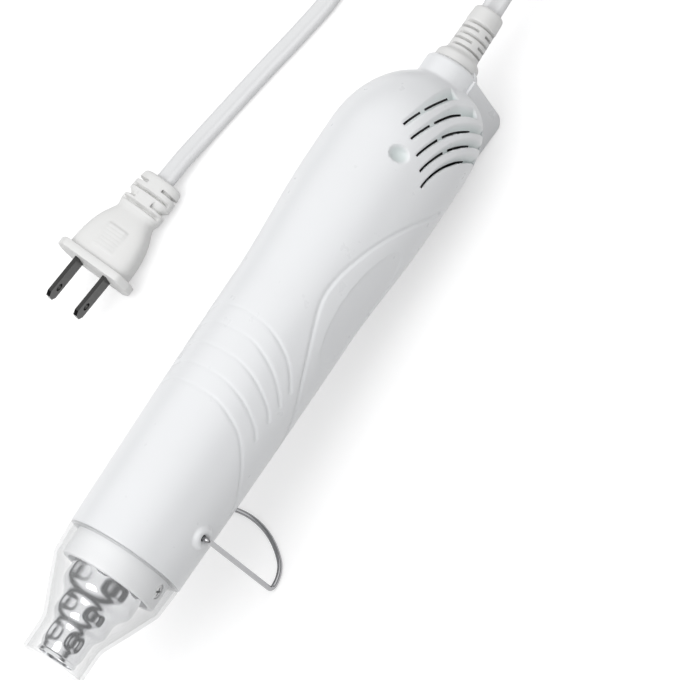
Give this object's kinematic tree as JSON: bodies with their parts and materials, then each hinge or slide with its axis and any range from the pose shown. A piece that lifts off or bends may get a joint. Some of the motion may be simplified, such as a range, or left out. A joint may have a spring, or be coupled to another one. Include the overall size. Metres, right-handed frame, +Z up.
{
  "type": "embossing heat tool",
  "caption": "Hand-held embossing heat tool: barrel housing with stepped nozzle in a clear guard, rocker switch, folding wire stand, and a flat lead with a two-blade plug.",
  "frame": {"origin": "centre of the tool's footprint on the floor, without the lead and the plug", "axes": "+X towards the tool's tail, nozzle at -X; +Z up; the tool stands nose-up on its wire stand and the rear corner of its switch platform"},
  "size_m": [0.3845, 0.1424, 0.0704],
  "materials": {
    "housing_white": "glossy moulded white",
    "collar_white": "fine-grained white",
    "guard_clear": "clear, light grey",
    "nozzle_chrome": "bright plated",
    "screw_steel": "plain steel",
    "stand_steel": "drawn wire, bright",
    "mica": "mica board",
    "heater_wire": "dull resistance wire",
    "motor_metal": "pressed steel",
    "inner_plastic": "plain moulded",
    "board_green": "circuit board",
    "capacitor_ochre": "dipped",
    "fan_plastic": "plain moulded",
    "switch_grey": "fine-grained grey",
    "rocker_grey": "smooth grey",
    "terminal_brass": "tinned brass",
    "wire_red": "insulated wire",
    "relief_vinyl": "satin vinyl",
    "cord_vinyl": "satin vinyl",
    "tie_white": "soft strip",
    "plug_vinyl": "satin vinyl",
    "blade_nickel": "nickel plated"
  },
  "bodies": {
    "tool": {"main_shell": "housing_white", "front_cover": "housing_white", "shell_screw": "screw_steel", "nozzle_collar": "collar_white", "collar_screws": "screw_steel", "nozzle": "nozzle_chrome", "nozzle_retainer": "screw_steel", "outlet_cross": "screw_steel", "nozzle_guard": "guard_clear", "mica_sleeve": "mica", "heater_core": "mica", "heating_coil": "heater_wire", "thermal_cutout": "motor_metal", "heater_base": "inner_plastic", "motor_mount": "inner_plastic", "motor_can": "motor_metal", "motor_end_cap": "inner_plastic", "rectifier_board": "board_green", "suppressor_capacitor": "capacitor_ochre", "switch_body": "switch_grey", "switch_terminals": "terminal_brass", "inner_wires": "wire_red", "strain_relief": "relief_vinyl", "lead_inner": "cord_vinyl", "cord_clamp": "inner_plastic", "clamp_screws": "screw_steel", "cord_tool_lead": "cord_vinyl", "cord_coil": "cord_vinyl", "cord_plug_lead": "cord_vinyl", "coil_tie": "tie_white", "plug_body": "plug_vinyl", "plug_blades": "blade_nickel"},
    "fan": {"fan_shaft": "screw_steel", "fan_impeller": "fan_plastic"},
    "rocker": {"switch_rocker": "rocker_grey"},
    "stand": {"stand_wire": "stand_steel"}
  },
  "joints": [
    {"name": "stand_hinge", "type": "hinge", "parent": "tool", "child": "stand", "pos_m": [-0.07122, 0, 0.0469], "axis": [0, -1, 0], "range_deg": [-97, 34]},
    {"name": "rocker_tilt", "type": "hinge", "parent": "tool", "child": "rocker", "pos_m": [0.07377, 0, 0.00402], "axis": [0, 1, 0], "range_deg": [0, 20]},
    {"name": "fan_spin", "type": "hinge", "parent": "tool", "child": "fan", "pos_m": [0.03576, 0, 0.03444], "axis": [0.9933, 0, -0.1157], "continuous": true}
  ]
}
